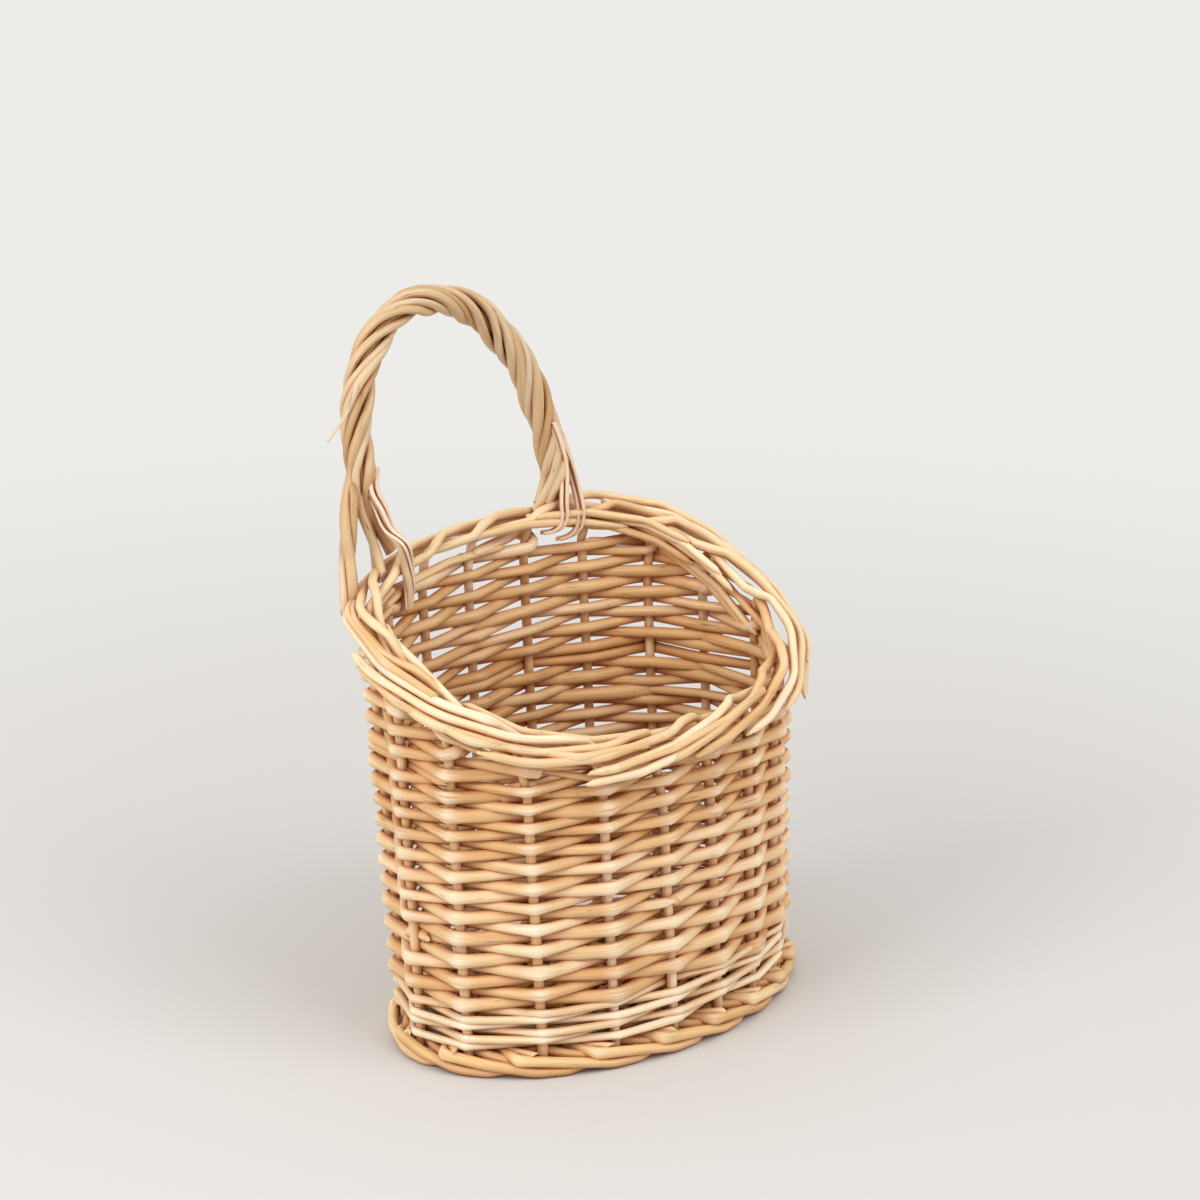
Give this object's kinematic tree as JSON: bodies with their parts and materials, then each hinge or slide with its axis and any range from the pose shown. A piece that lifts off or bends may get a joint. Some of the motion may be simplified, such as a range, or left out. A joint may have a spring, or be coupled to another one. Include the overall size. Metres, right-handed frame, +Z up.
{
  "type": "hanging willow basket",
  "caption": "Small oval basket of woven peeled willow with a slanting rim, high at the back, a border foot and a roped bow handle to hang it by.",
  "frame": {"origin": "on the ground, in the middle of the whole basket's box, with the basket standing on its foot border", "axes": "+Z up, +Y towards the high back and the handle, +X to the right as seen from the low front"},
  "size_m": [0.195, 0.1446, 0.267],
  "materials": {
    "stakes": "peeled willow, smooth with a slight sheen, light tan",
    "weavers": "peeled willow, satin, tan with darker bends and fine splits",
    "wale": "fine peeled willow, satin, pale cream",
    "foot_border": "peeled willow, satin, yellow tan",
    "base": "peeled willow, dry and duller, brown tan",
    "handle": "peeled willow, satin, tan with grey-pink streaks",
    "ties": "fine peeled willow, satin, pale pinkish cream"
  },
  "bodies": {
    "root": {"stake_01": "stakes", "stake_02": "stakes", "stake_03": "stakes", "stake_04": "stakes", "stake_05": "stakes", "stake_06": "stakes", "stake_07": "stakes", "stake_08": "stakes", "stake_09": "stakes", "stake_10": "stakes", "stake_11": "stakes", "stake_12": "stakes", "stake_13": "stakes", "stake_14": "stakes", "stake_15": "stakes", "stake_16": "stakes", "stake_17": "stakes", "stake_18": "stakes", "wale_rod_01": "wale", "wale_rod_02": "wale", "wale_rod_03": "wale", "siding_a_1": "weavers", "siding_a_2": "weavers", "siding_a_3": "weavers", "siding_b_1": "weavers", "siding_b_2": "weavers", "siding_b_3": "weavers", "packing_weaver": "weavers", "rim_weaver": "weavers", "foot_rod_01": "foot_border", "foot_rod_02": "foot_border", "foot_rod_03": "foot_border", "foot_rod_04": "foot_border", "foot_rod_05": "foot_border", "foot_rod_06": "foot_border", "foot_rod_07": "foot_border", "foot_rod_08": "foot_border", "foot_rod_09": "foot_border", "foot_rod_10": "foot_border", "foot_rod_11": "foot_border", "foot_rod_12": "foot_border", "foot_rod_13": "foot_border", "foot_rod_14": "foot_border", "foot_rod_15": "foot_border", "foot_rod_16": "foot_border", "foot_rod_17": "foot_border", "foot_rod_18": "foot_border", "base_sticks": "base", "base_mat": "base", "handle_bow": "handle", "handle_rod_01": "handle", "handle_rod_02": "handle", "handle_rod_03": "handle", "handle_rod_04": "handle", "handle_rod_05": "handle", "handle_tie_left_1": "ties", "handle_tie_left_2": "ties", "handle_tie_right_1": "ties", "handle_tie_right_2": "ties"}
  },
  "joints": []
}
